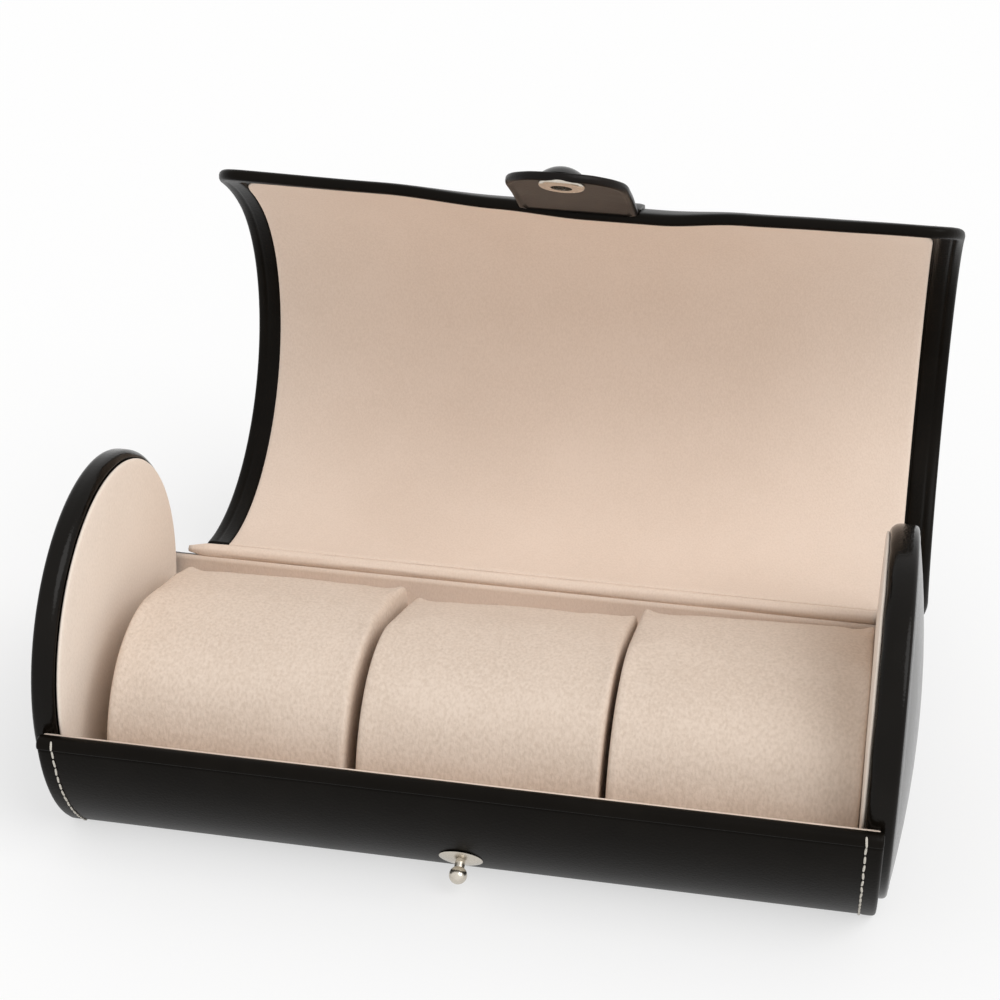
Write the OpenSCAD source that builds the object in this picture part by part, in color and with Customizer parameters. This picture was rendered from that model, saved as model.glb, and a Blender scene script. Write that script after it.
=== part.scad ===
// Cylindrical watch box: a round-bottomed trough of leather-covered board with
// padded end discs, a curved lid on a soft hinge, and three loose pillows.
// X runs along the box, -Y is the front, +Z is up; the box stands on Z = 0.

/* [Trough] */
// Length of the trough wall
wall_len = 210; // [190:1:230]
// Outer radius of the trough wall
wall_r = 51.8; // [50:0.1:53.5]
// Height of the cylinder axis above the table
axis_h = 37.5; // [36:0.1:39]
// Thickness of the outer leather on the trough
cover_t = 1.2; // [1:0.1:1.4]
// Thickness of the stiff board in the trough
board_t = 2.0; // [1.6:0.1:2.2]
// Thickness of the suede lining
lining_t = 0.6; // [0.4:0.1:0.7]
// Height of the top of the rolled front edge
front_top = 37.5; // [36:0.1:38]
// Width of the rolled front edge
front_roll_w = 4.4; // [4.2:0.1:4.8]

/* [End discs] */
// Gap between a disc's edge and the trough's lining
disc_gap = 0.4; // [0.2:0.1:1]
// Thickness of each end disc at its edge
disc_t = 7.6; // [7.4:0.1:10]
// Height of the padded dome on a disc's outer face
disc_crown = 4.3; // [2:0.1:6]
// Depth of a disc's inner edge inside the end of the trough wall
disc_seat = 5.4; // [4:0.1:7]
// Thickness of the leather over a disc
disc_leather_t = 1.1; // [0.9:0.1:1.2]
// Radius of a disc's rounded outer shoulder
disc_round = 1.5; // [1.3:0.1:2]
// Width of the leather edge that shows round the suede
disc_edge_w = 2.1; // [1.8:0.1:2.6]
// Depth of the suede face below that edge
disc_recess = 0.4; // [0.2:0.1:0.6]

/* [Lid] */
// Distance that the closed lid's end stays back from the end of the trough wall
lid_end_gap = 1.75; // [1:0.25:8]
// Inner radius of the lid
lid_r = 51.5; // [51.2:0.1:52]
// Thickness of the lid's outer leather
lid_cover_t = 1.0; // [0.8:0.1:1.1]
// Thickness of the lid's board
lid_board_t = 1.5; // [1.3:0.1:1.7]
// Thickness of the lid's suede lining
lid_lining_t = 0.5; // [0.4:0.1:0.6]
// Width of the leather border round the lining
border_w = 7.5; // [6:0.5:9]
// Corner radius of the lid's free edge
lid_corner_r = 9; // [6:0.5:12]
// Corner radius of the lid's lining at its free edge
lining_corner_r = 5; // [2:0.5:7]
// Angle the lid has turned back from closed
lid_open = 98.7; // [0:0.1:98.7]
// Sideways set of the open lid on its soft hinge
lid_shift = 9.4; // [0:0.1:9.4]

/* [Hinge] */
// Angle of the hinge line below the cylinder axis
hinge_drop = 6.3; // [5:0.1:8]
// Radius of the rolled hinge cord
hinge_roll_r = 1.9; // [1.6:0.1:2]

/* [Closing tab] */
// Width of the leather tab
tab_w = 32; // [28:1:36]
// Thickness of the tab's outer leather
tab_outer_t = 1.2; // [1:0.1:1.3]
// Thickness of the tab's inner leather
tab_lining_t = 0.8; // [0.6:0.1:0.9]
// Angle the tab is bent outward from where it lies when closed
tab_flex = 47; // [0:1:75]
// Angle of the stud round the trough from straight down
stud_deg = 56.3; // [56:0.1:60]
// Sideways place of the stud and the tab
closure_x = 1.2; // [-2:0.1:2]
// Radius of the press stud's cap and socket
snap_r = 6.0; // [5.6:0.1:6.2]
// Radius of the stud's ball
ball_r = 2.3; // [2.1:0.1:2.35]

/* [Pillows] */
// Gap between the left disc and the first pillow
pillow_left_gap = 7.6; // [0.6:0.1:9]
// Gap between the last pillow and the right disc
pillow_right_gap = 0.6; // [0.5:0.1:4]
// Gap between two pillows
pillow_gap = 1.6; // [1:0.1:3]
// Radius of a pillow's full front
pillow_front_r = 29; // [27:0.5:30]
// Distance of that front's centre in front of the box's axis
pillow_front_y = 11; // [9:0.5:12]
// Height of that front's centre above the table
pillow_front_z = 22; // [20:0.5:24]
// Radius of a pillow's low back
pillow_back_r = 9; // [8:0.5:12]
// Distance of that back's centre behind the box's axis
pillow_back_y = 27; // [24:0.5:28]
// Height of that back's centre above the table
pillow_back_z = 30; // [26:0.5:32]
// Thickness of the suede over a pillow
pillow_skin = 1.4; // [1:0.1:2]

/* [Hidden] */

leather = [0.11, 0.10, 0.10];
suede = [0.86, 0.78, 0.69];
card = [0.55, 0.47, 0.38];
foam = [0.93, 0.90, 0.80];
nickel = [0.78, 0.76, 0.72];

$fn = 96;
dome_fn = 480;
eps = 0.01;
big = 200;

// Running gap between pieces that move against each other
run_gap = 0.3;
// Glue line between two curved layers
glue_gap = 0.05;
wall_t = cover_t + board_t + lining_t;
bowl_r = wall_r - wall_t;
half_len = wall_len / 2;
disc_r = bowl_r - disc_gap;
disc_in = half_len - disc_seat;
disc_out = disc_in + disc_t;
roll_r = front_roll_w / 2;
front_cut = front_top - roll_r;
front_y = -(wall_r + bowl_r) / 2;

// The hinge line lies just outside the middle of the back wall's thickness
hinge_out = 0.1;
back_relief = 0.4;
hinge_r = wall_r - wall_t / 2 + hinge_out;
hinge_y = hinge_r * cos(hinge_drop);
hinge_z = axis_h - hinge_r * sin(hinge_drop);
hinge_clear = hinge_roll_r + run_gap;
back_cut = hinge_z - hinge_clear - back_relief;

// The lid's arc, as it lies closed
lid_t = lid_cover_t + lid_board_t + lid_lining_t;
lid_out = lid_r + lid_t;
lid_mid = lid_r + lid_t / 2;
lid_y = hinge_y - lid_mid * cos(hinge_drop);
lid_z = hinge_z + lid_mid * sin(hinge_drop);
lid_half = half_len - lid_end_gap;
lid_end_deg = 178.5;
lid_edge_z = lid_z + lid_r * sin(lid_end_deg);
edge_turn = 1.0;
board_corner_r = lid_corner_r - edge_turn;
border_proud = 0.2;

// The tab's bend line at the lid's free edge, as it lies closed
tab_axis_out = 0.7;
tab_axis_r = lid_out + tab_axis_out;
tab_axis_deg = 180.3;
tab_y = lid_y + tab_axis_r * cos(tab_axis_deg);
tab_z = lid_z + tab_axis_r * sin(tab_axis_deg);
tab_t = tab_outer_t + tab_lining_t;
tab_roll_r = 1.2;
tab_tip_r = 18;
tab_tip_rim = 0.3;
tab_tip_past = snap_r + tab_tip_rim;
anchor_t = 1.4;
anchor_deg = 15;

// The stud: its seat on the wall and the centre of its ball
ball_h = 4.3;
flange_r = 5.6;
flange_h = 1.1;
neck_r = 1.3;
rivet_r = 1.5;
rivet_head_r = 3.9;
rivet_head_t = 0.85;
rivet_gap = 0.15;
rivet_depth = rivet_head_t + rivet_gap;
stud_y = -wall_r * sin(stud_deg);
stud_z = axis_h - wall_r * cos(stud_deg);
ball_y = stud_y - ball_h * sin(stud_deg);
ball_z = stud_z - ball_h * cos(stud_deg);

// The closed tab runs from its bend line to just behind the ball's centre
ball_proud = 0.3;
reach = norm([ball_y - tab_y, ball_z - tab_z]);
tab_len = sqrt(reach * reach - ball_proud * ball_proud);
tab_closed_deg = atan2(ball_z - tab_z, ball_y - tab_y) + asin(ball_proud / reach);

// Three equal pillows share the length between the discs
pillow_start = pillow_left_gap - disc_in;
pillow_len = (disc_in - pillow_right_gap - pillow_start - 2 * pillow_gap) / 3;
pillow_floor = wall_t + run_gap;

function turned(p, deg) = [
    p[0] * cos(deg) - p[1] * sin(deg),
    p[0] * sin(deg) + p[1] * cos(deg)
];

// A point of the closed lid, where it lies with the lid open
function opened_point(p) = let(q = turned([p[0] - hinge_y, p[1] - hinge_z], -lid_open))
    [hinge_y + q[0], hinge_z + q[1]];

// Extrudes a side view, drawn as (Y, Z), from one X to another
module along_x(x0, x1) {
    translate([x0, 0, 0])
        rotate([90, 0, 90])
            linear_extrude(x1 - x0)
                children();
}

module wedge(a0, a1, r) {
    steps = 12;
    polygon(concat([[0, 0]], [for (i = [0:steps])
        let(a = a0 + (a1 - a0) * i / steps) [r * cos(a), r * sin(a)]]));
}

// A round with its lower side cut off level
module flat_round(r, floor_z) {
    intersection() {
        translate([0, axis_h])
            circle(r);
        translate([-big, floor_z])
            square([2 * big, 2 * big]);
    }
}

// One layer of the trough wall, between two depths from the outside
module wall_layer(d0, d1) {
    difference() {
        flat_round(wall_r - d0, d0);
        flat_round(wall_r - d1, d1);
        translate([-big, front_cut])
            square([big, big]);
        translate([0, back_cut])
            square([big, big]);
    }
}

module at_stud() {
    translate([closure_x, stud_y, stud_z])
        rotate([180 - stud_deg, 0, 0])
            children();
}

// The outer leather, turned in over both ends of the board
module base_cover() {
    color(leather)
        difference() {
            along_x(-half_len, half_len)
                wall_layer(0, wall_t);
            along_x(-half_len + cover_t, half_len - cover_t)
                flat_round(wall_r - cover_t, cover_t);
            at_stud()
                translate([0, 0, -wall_t])
                    cylinder(r = rivet_r, h = 2 * wall_t);
        }
}

module base_board() {
    color(card)
        difference() {
            along_x(-half_len + cover_t, half_len - cover_t)
                wall_layer(cover_t, cover_t + board_t);
            at_stud()
                translate([0, 0, -wall_t])
                    cylinder(r = rivet_r, h = 2 * wall_t);
            at_stud()
                translate([0, 0, -wall_t])
                    cylinder(r = rivet_head_r + rivet_gap, h = lining_t + rivet_depth);
        }
}

module base_lining() {
    color(suede)
        along_x(-half_len + cover_t, half_len - cover_t)
            wall_layer(cover_t + board_t, wall_t);
}

module front_binding() {
    color(leather)
        along_x(-half_len, half_len)
            translate([front_y, front_cut])
                intersection() {
                    circle(roll_r);
                    translate([-roll_r, 0])
                        square([2 * roll_r, roll_r]);
                }
}

// Solids of revolution about the cylinder's axis, drawn as (radius, X)
module about_axis() {
    translate([0, 0, axis_h])
        rotate([0, 90, 0])
            rotate_extrude()
                children();
}

module above(z) {
    intersection() {
        children();
        translate([0, -big, z])
            cube([big, 2 * big, big]);
    }
}

// Side view of a disc with a rounded outer shoulder and a padded dome on its outer face
module disc_view(r, x0, x1, round_r) {
    dome_w = r - round_r;
    dome_r = (dome_w * dome_w + disc_crown * disc_crown) / (2 * disc_crown);
    intersection() {
        union() {
            translate([0, x0])
                square([r, x1 - round_r - x0]);
            translate([0, x0])
                square([dome_w, x1 - x0]);
            translate([dome_w, x1 - round_r])
                circle(round_r);
            intersection() {
                translate([0, x1 + disc_crown - dome_r])
                    circle(dome_r, $fn = dome_fn);
                translate([0, x0])
                    square([dome_w, big]);
            }
        }
        translate([0, x0])
            square([r, big]);
    }
}

disc_inner_r = disc_r - disc_leather_t;
disc_top = disc_out - disc_leather_t;
disc_lining_t = 0.7;
disc_board_t = 4.8;
lining_face = disc_in + disc_recess;
lining_back = lining_face + disc_lining_t;
disc_board_out = lining_back + disc_board_t;
disc_foot = wall_t;

module end_cover() {
    color(leather) {
        difference() {
            above(disc_foot)
                about_axis()
                    disc_view(disc_r, disc_in, disc_out, disc_round);
            above(disc_foot + disc_leather_t)
                about_axis()
                    disc_view(disc_inner_r, lining_back, disc_top, disc_round - disc_leather_t);
            above(disc_foot + disc_edge_w)
                about_axis()
                    translate([0, disc_in - 1])
                        square([disc_r - disc_edge_w, lining_back - disc_in + 1 + eps]);
        }
    }
}

module end_padding() {
    color(foam)
        above(disc_foot + disc_leather_t)
            about_axis()
                disc_view(disc_inner_r, disc_board_out, disc_top, disc_round - disc_leather_t);
}

module end_board() {
    color(card)
        above(disc_foot + disc_leather_t)
            about_axis()
                translate([0, lining_back])
                    square([disc_inner_r, disc_board_out - lining_back]);
}

module end_lining() {
    color(suede)
        above(disc_foot + disc_edge_w)
            about_axis()
                translate([0, lining_face])
                    square([disc_r - disc_edge_w, lining_back - lining_face]);
}

module end_cover_left() { mirror([1, 0, 0]) end_cover(); }
module end_padding_left() { mirror([1, 0, 0]) end_padding(); }
module end_board_left() { mirror([1, 0, 0]) end_board(); }
module end_lining_left() { mirror([1, 0, 0]) end_lining(); }
module end_cover_right() { end_cover(); }
module end_padding_right() { end_padding(); }
module end_board_right() { end_board(); }
module end_lining_right() { end_lining(); }

// Domed flange, neck and ball, turned in one piece, with its rivet shank
module snap_stud() {
    dome_r = (flange_r * flange_r + flange_h * flange_h) / (2 * flange_h);
    color(nickel)
        at_stud() {
            rotate_extrude()
                intersection() {
                    translate([0, flange_h - dome_r])
                        circle(dome_r);
                    square([flange_r, flange_h]);
                }
            translate([0, 0, -cover_t - board_t + rivet_depth])
                cylinder(r = rivet_r, h = cover_t + board_t - rivet_depth);
            cylinder(r = neck_r, h = ball_h);
            translate([0, 0, ball_h])
                sphere(ball_r, $fn = 48);
        }
}

module stud_rivet() {
    color(nickel)
        at_stud()
            translate([0, 0, -cover_t - board_t + rivet_gap])
                cylinder(r = rivet_head_r, h = rivet_head_t);
}

// Half of the hinge cord, on the side that a direction points to
module hinge_half(deg) {
    translate([lid_shift - lid_half, hinge_y, hinge_z])
        rotate([90, 0, 90])
            linear_extrude(2 * lid_half)
                rotate(deg)
                    intersection() {
                        circle(hinge_roll_r);
                        translate([0, -big])
                            square([big, 2 * big]);
                    }
}

module hinge_leather() { color(leather) hinge_half(-45); }
module hinge_lining() { color(suede) hinge_half(135); }

// Places what is drawn on the closed lid where the open lid holds it
module opened() {
    translate([lid_shift, hinge_y, hinge_z])
        rotate([-lid_open, 0, 0])
            translate([0, -hinge_y, -hinge_z])
                children();
}

// A layer of the closed lid between two radii, its edges drawn in by some distance
module lid_layer(r0, r1, inset, hinge_inset, round_r = lid_corner_r) {
    end_deg = lid_end_deg - inset / lid_mid * 180 / PI;
    start_deg = -hinge_drop + hinge_inset / lid_mid * 180 / PI;
    difference() {
        along_x(-lid_half + inset, lid_half - inset)
            translate([lid_y, lid_z])
                intersection() {
                    difference() {
                        circle(r1);
                        circle(r0);
                    }
                    wedge(start_deg, end_deg, 2 * r1);
                }
        for (s = [-1, 1])
            translate([s * (lid_half - inset - round_r), lid_y, lid_edge_z + inset + round_r])
                difference() {
                    translate([s > 0 ? 0 : -big, -big, -big])
                        cube([big, big, big]);
                    translate([0, 1, 0])
                        rotate([90, 0, 0])
                            cylinder(r = round_r, h = big + 2);
                }
    }
}

// The same layer with room for the hinge cord
module lid_shell(r0, r1, inset, hinge_inset, round_r = lid_corner_r) {
    difference() {
        lid_layer(r0, r1, inset, hinge_inset, round_r);
        along_x(-half_len, half_len)
            translate([hinge_y, hinge_z])
                circle(hinge_clear);
    }
}

// The room for the lining, which has leather on three sides and runs on to the hinge
module lid_window() {
    lid_layer(lid_r - 2 * border_proud, lid_mid, border_w, -edge_turn, lining_corner_r);
}

module lid_cover() {
    color(leather)
        opened()
            lid_shell(lid_r + lid_lining_t + lid_board_t, lid_out, 0, 0);
}

module lid_board() {
    color(card)
        opened()
            lid_shell(lid_r + lid_lining_t, lid_r + lid_lining_t + lid_board_t, edge_turn, 0, board_corner_r);
}

module lid_lining() {
    color(suede)
        opened()
            lid_shell(lid_r, lid_r + lid_lining_t - glue_gap, border_w, 0, lining_corner_r);
}

// The leather turned in over the board's edges and round the lining
module lid_border() {
    color(leather)
        opened()
            difference() {
                lid_shell(lid_r - border_proud, lid_out - lid_cover_t, 0, 0);
                lid_layer(lid_r + lid_lining_t, lid_out, edge_turn, -edge_turn, board_corner_r);
                lid_window();
            }
}

module tab_anchor() {
    color(leather)
        opened()
            along_x(closure_x - tab_w / 2, closure_x + tab_w / 2)
                translate([lid_y, lid_z])
                    intersection() {
                        difference() {
                            circle(lid_out + anchor_t);
                            circle(lid_out);
                        }
                        wedge(lid_end_deg - anchor_deg, lid_end_deg, 2 * lid_out);
                    }
}

// The tab's own frame: Y runs to its tip and Z is its inner side
module at_tab() {
    p = opened_point([tab_y, tab_z]);
    translate([lid_shift + closure_x, p[0], p[1]])
        rotate([tab_closed_deg - lid_open - tab_flex, 0, 0])
            children();
}

// The tab's tongue between two depths, with the hole for the press stud
module tongue(z0, z1, hole_r) {
    tip = tab_len + tab_tip_past;
    translate([0, 0, z0])
        linear_extrude(z1 - z0)
            difference() {
                intersection() {
                    translate([-tab_w / 2, 0])
                        square([tab_w, tip]);
                    union() {
                        translate([0, tip - tab_tip_r])
                            circle(tab_tip_r);
                        translate([-tab_w / 2, 0])
                            square([tab_w, tip - tab_tip_r]);
                    }
                }
                translate([0, tab_len])
                    circle(hole_r);
            }
}

barrel_r = 3.2;
socket_hole_r = 2.75;
tab_split = tab_t / 2 - tab_lining_t;

module tab_outer() {
    color(leather)
        at_tab() {
            tongue(-tab_t / 2, tab_split, barrel_r);
            translate([-tab_w / 2, 0, 0])
                rotate([0, 90, 0])
                    cylinder(r = tab_roll_r, h = tab_w);
        }
}

module tab_lining() {
    color(leather)
        at_tab()
            difference() {
                tongue(tab_split, tab_t / 2, barrel_r);
                translate([-tab_w, 0, 0])
                    rotate([0, 90, 0])
                        cylinder(r = tab_roll_r, h = 2 * tab_w);
            }
}

// A hollow dome that closes the press stud on the outside
module snap_cap() {
    cap_h = 2.6;
    cap_skin = 0.6;
    cap_room = 0.9;
    dome_r = (snap_r * snap_r + cap_h * cap_h) / (2 * cap_h);
    color(nickel)
        at_tab()
            translate([0, tab_len, -tab_t / 2])
                rotate([180, 0, 0])
                    rotate_extrude()
                        difference() {
                            intersection() {
                                translate([0, cap_h - dome_r])
                                    circle(dome_r);
                                square([snap_r, cap_h]);
                            }
                            intersection() {
                                translate([0, cap_h - cap_skin - dome_r])
                                    circle(dome_r);
                                translate([-eps, -eps])
                                    square([barrel_r + cap_room, cap_h]);
                            }
                        }
}

// Rolled ring on the inner side, with the barrel that passes through the leather
module snap_socket() {
    ring_h = 0.9;
    color(nickel)
        at_tab()
            translate([0, tab_len, 0])
                rotate_extrude() {
                    translate([socket_hole_r, -tab_t / 2])
                        square([barrel_r - socket_hole_r, tab_t + ring_h]);
                    translate([socket_hole_r, tab_t / 2])
                        square([snap_r - socket_hole_r - ring_h + eps, ring_h]);
                    translate([snap_r - ring_h, tab_t / 2])
                        intersection() {
                            circle(ring_h);
                            square(ring_h);
                        }
                }
}

// Spring ring that grips the ball, held between barrel and cap
module snap_spring() {
    wire_r = 0.3;
    color(nickel)
        at_tab()
            translate([0, tab_len, -tab_t / 2 - wire_r])
                rotate_extrude()
                    translate([socket_hole_r + wire_r + 0.15, 0])
                        circle(wire_r, $fn = 24);
}

// Side view of a pillow, drawn in by some distance all round
module pillow_view(inset) {
    across = [pillow_back_y + pillow_front_y, pillow_back_z - pillow_front_z];
    lean = atan2(across[1], across[0]) + acos((pillow_front_r - pillow_back_r) / norm(across));
    r0 = pillow_front_r - inset;
    r1 = pillow_back_r - inset;
    intersection() {
        flat_round(bowl_r - 2 * run_gap - inset, pillow_floor + inset);
        union() {
            translate([-pillow_front_y, pillow_front_z])
                circle(r0);
            translate([pillow_back_y, pillow_back_z])
                circle(r1);
            polygon([
                [-pillow_front_y - r0, pillow_front_z],
                [-pillow_front_y + r0 * cos(lean), pillow_front_z + r0 * sin(lean)],
                [pillow_back_y + r1 * cos(lean), pillow_back_z + r1 * sin(lean)],
                [pillow_back_y + r1, pillow_back_z],
                [pillow_back_y + r1, 0],
                [-pillow_front_y - r0, 0]
            ]);
        }
    }
}

module pillow_body(index, inset) {
    x0 = pillow_start + index * (pillow_len + pillow_gap);
    along_x(x0 + inset, x0 + pillow_len - inset)
        pillow_view(inset);
}

module pillow_cover(index) {
    color(suede)
        difference() {
            pillow_body(index, 0);
            pillow_body(index, pillow_skin);
        }
}

module pillow_foam(index) { color(foam) pillow_body(index, pillow_skin); }

module pillow_cover_left() { pillow_cover(0); }
module pillow_foam_left() { pillow_foam(0); }
module pillow_cover_middle() { pillow_cover(1); }
module pillow_foam_middle() { pillow_foam(1); }
module pillow_cover_right() { pillow_cover(2); }
module pillow_foam_right() { pillow_foam(2); }

base_cover();
base_board();
base_lining();
front_binding();
end_cover_left();
end_padding_left();
end_board_left();
end_lining_left();
end_cover_right();
end_padding_right();
end_board_right();
end_lining_right();
snap_stud();
stud_rivet();
hinge_leather();
hinge_lining();
lid_cover();
lid_board();
lid_lining();
lid_border();
tab_anchor();
tab_outer();
tab_lining();
snap_cap();
snap_socket();
snap_spring();
pillow_cover_left();
pillow_foam_left();
pillow_cover_middle();
pillow_foam_middle();
pillow_cover_right();
pillow_foam_right();
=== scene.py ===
# Looks of a cylindrical leather watch box with three loose suede pillows
import bmesh
import bpy
import math
import random
from mathutils import Matrix, Vector, noise


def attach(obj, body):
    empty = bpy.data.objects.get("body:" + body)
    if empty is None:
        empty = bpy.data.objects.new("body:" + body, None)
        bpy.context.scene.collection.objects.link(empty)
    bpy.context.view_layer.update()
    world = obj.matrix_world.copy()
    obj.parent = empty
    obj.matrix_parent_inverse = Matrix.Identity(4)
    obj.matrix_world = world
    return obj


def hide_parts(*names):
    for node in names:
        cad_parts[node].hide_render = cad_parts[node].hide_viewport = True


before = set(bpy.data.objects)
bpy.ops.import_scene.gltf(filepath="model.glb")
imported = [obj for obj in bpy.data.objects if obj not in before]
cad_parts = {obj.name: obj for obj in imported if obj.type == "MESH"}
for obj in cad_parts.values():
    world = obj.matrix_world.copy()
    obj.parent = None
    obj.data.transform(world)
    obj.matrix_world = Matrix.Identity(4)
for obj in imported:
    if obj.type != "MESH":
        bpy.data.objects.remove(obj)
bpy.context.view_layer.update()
print("frame loaded:", len(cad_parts), "nodes")

scene = bpy.context.scene
mm = 0.001

# Sizes that several pieces share, in millimetres and degrees
box = {
    "wallLength": 210.0,
    "wallRadius": 51.8,
    "axisHeight": 37.5,
    "wallDepth": 3.8,
    "coverDepth": 1.2,
    "rimHeight": 35.3,
    "backHeight": 29.41,
    "hingeY": 49.698,
    "hingeZ": 32.0133,
    "lidY": -2.9819,
    "lidZ": 37.8292,
    "lidRadius": 51.5,
    "lidDepth": 3.0,
    "lidLength": 206.5,
    "lidStart": -6.3,
    "lidEnd": 178.5,
    "lidOpen": 98.7,
    "lidShift": 9.4,
    "tabTurn": 145.0842,
}
halfWall = box["wallLength"] / 2
halfLid = box["lidLength"] / 2
lidMid = box["lidRadius"] + box["lidDepth"] / 2
lidArc = math.radians(box["lidEnd"] - box["lidStart"]) * lidMid


# Camera

camera = {
    "place": (95.04, -469.01, 374.75),
    "azimuth": 10.08,
    "elevation": 29.678,
    "roll": 0.307,
    "lens": 80.19,
    "shift": (-0.034, -0.0478),
}


def makeCamera(c):
    az = math.radians(c["azimuth"])
    el = math.radians(c["elevation"])
    back = Vector((math.sin(az) * math.cos(el), -math.cos(az) * math.cos(el), math.sin(el)))
    right = Vector((math.cos(az), math.sin(az), 0))
    up = back.cross(right)
    turn = Matrix((right, up, back)).transposed() @ Matrix.Rotation(math.radians(c["roll"]), 3, "Z")
    data = bpy.data.cameras.new("camera")
    data.lens = c["lens"]
    data.sensor_width = 36
    data.shift_x, data.shift_y = c["shift"]
    data.clip_start = 0.01
    data.clip_end = 50
    made = bpy.data.objects.new("camera", data)
    made.matrix_world = Matrix.Translation(Vector(c["place"]) * mm) @ turn.to_4x4()
    scene.collection.objects.link(made)
    scene.camera = made


makeCamera(camera)


# Shader helpers

class Wire:
    # one output socket, with the arithmetic that the finishes use
    def __init__(self, finish, socket):
        self.finish = finish
        self.socket = socket

    def math(self, operation, *inputs):
        sockets = {i: value for i, value in enumerate(inputs)}
        return self.finish.node("ShaderNodeMath", {"operation": operation}, sockets)

    def __add__(self, other):
        return self.math("ADD", self, other)

    def __radd__(self, other):
        return self.math("ADD", other, self)

    def __sub__(self, other):
        return self.math("SUBTRACT", self, other)

    def __rsub__(self, other):
        return self.math("SUBTRACT", other, self)

    def __mul__(self, other):
        return self.math("MULTIPLY", self, other)

    def __rmul__(self, other):
        return self.math("MULTIPLY", other, self)


class Finish:
    # one material, or the world, and the nodes in it
    def __init__(self, name, holder=None, shader="Principled BSDF"):
        self.material = holder or bpy.data.materials.new(name)
        self.material.use_nodes = True
        self.tree = self.material.node_tree
        self.shader = self.tree.nodes[shader]

    def node(self, kind, settings=None, sockets=None, output=0):
        made = self.tree.nodes.new(kind)
        for key, value in (settings or {}).items():
            if key == "stops":
                self.setStops(made.color_ramp, value)
            else:
                setattr(made, key, value)
        for key, value in (sockets or {}).items():
            self.feed(made.inputs[key], value)
        return Wire(self, made.outputs[output])

    def feed(self, socket, value):
        if isinstance(value, Wire):
            self.tree.links.new(value.socket, socket)
        elif isinstance(value, tuple) and socket.type == "RGBA":
            socket.default_value = (*value, 1)
        else:
            socket.default_value = value

    def setStops(self, ramp, stops):
        while len(ramp.elements) < len(stops):
            ramp.elements.new(1)
        for element, (place, colour) in zip(ramp.elements, stops):
            element.position = place
            element.color = (*colour, 1)

    def place(self):
        return self.node("ShaderNodeTexCoord", output=3)

    def mixed(self, factor, a, b):
        settings = {"data_type": "RGBA", "clamp_factor": True}
        return self.node("ShaderNodeMix", settings, {0: factor, 6: a, 7: b}, output=2)

    def speckle(self, where, size, detail=2.0, rough=0.5):
        sockets = {"Vector": where, "Scale": 1 / (size * mm), "Detail": detail, "Roughness": rough}
        return self.node("ShaderNodeTexNoise", None, sockets)

    def cells(self, where, size):
        sockets = {"Vector": where, "Scale": 1 / (size * mm)}
        return self.node("ShaderNodeTexVoronoi", None, sockets)

    def bumped(self, height, distance):
        sockets = {"Height": height, "Distance": distance * mm, "Strength": 1.0}
        return self.node("ShaderNodeBump", None, sockets)

    def facing(self):
        # 1 where the camera or a mirror looks, 0 for the light on the box
        camera = self.node("ShaderNodeLightPath")
        mirror = self.node("ShaderNodeLightPath", output=3)
        return camera.math("MAXIMUM", camera, mirror)

    def set(self, **sockets):
        for key, value in sockets.items():
            self.feed(self.shader.inputs[key.replace("_", " ")], value)


# Finishes

leatherLook = {
    "black": (0.0045, 0.0034, 0.0023),
    "worn": (0.0064, 0.0050, 0.0036),
    "grain": 0.75,
    "grainDepth": 0.03,
    "roughness": 0.34,
    "shine": 0.06,
}


def makeLeather(name, look):
    f = Finish(name)
    where = f.place()
    warp = f.speckle(where, 2.2, 2)
    bent = f.node(
        "ShaderNodeVectorMath", {"operation": "MULTIPLY_ADD"},
        {0: f.node("ShaderNodeCombineXYZ", None, {0: warp, 1: warp, 2: warp}),
         1: (0.0006, 0.0006, 0.0006), 2: where})
    pebble = f.cells(bent, look["grain"])
    pores = f.speckle(where, 0.22, 3, 0.6)
    cloud = f.speckle(where, 14, 3)
    wear = f.node("ShaderNodeValToRGB", {"stops": [(0.42, (0, 0, 0)), (0.72, (1, 1, 1))]}, {0: cloud})
    f.set(
        Base_Color=f.mixed(wear, look["black"], look["worn"]),
        Roughness=look["roughness"] + (pores - 0.5) * 0.16 + (cloud - 0.5) * 0.06,
        Specular_IOR_Level=look["shine"],
        Normal=f.bumped(pebble * 0.8 + pores * 0.35 + cloud * 1.2, look["grainDepth"]),
    )
    return f.material


suedeLook = {
    "light": (0.770, 0.640, 0.535),
    "deep": (0.665, 0.540, 0.440),
    "nap": 1.0,
    "napDepth": 0.14,
    "cloud": 0.25,
}
velvetLook = {
    "light": (0.850, 0.705, 0.595),
    "deep": (0.790, 0.645, 0.535),
    "nap": 0.6,
    "napDepth": 0.05,
    "cloud": 0.30,
}


def makeSuede(name, look):
    f = Finish(name)
    where = f.place()
    pulled = f.node("ShaderNodeVectorMath", {"operation": "MULTIPLY"}, {0: where, 1: (1.25, 1.0, 0.7)})
    nap = f.speckle(pulled, look["nap"], 2, 0.5)
    hair = f.speckle(where, 0.16, 2, 0.6)
    brushed = f.speckle(where, 22, 2, 0.5)
    tone = brushed * look["cloud"] + nap * (1 - look["cloud"])
    shade = f.node("ShaderNodeValToRGB", {"stops": [(0.34, (0, 0, 0)), (0.62, (1, 1, 1))]}, {0: tone})
    f.set(
        Base_Color=f.mixed(shade, look["deep"], look["light"]),
        Roughness=0.93,
        Specular_IOR_Level=0.1,
        Sheen_Weight=0.12,
        Sheen_Roughness=0.5,
        Normal=f.bumped(nap + hair * 0.3, look["napDepth"]),
    )
    f.shader.inputs["Sheen Tint"].default_value = (0.97, 0.90, 0.83, 1)
    return f.material


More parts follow.
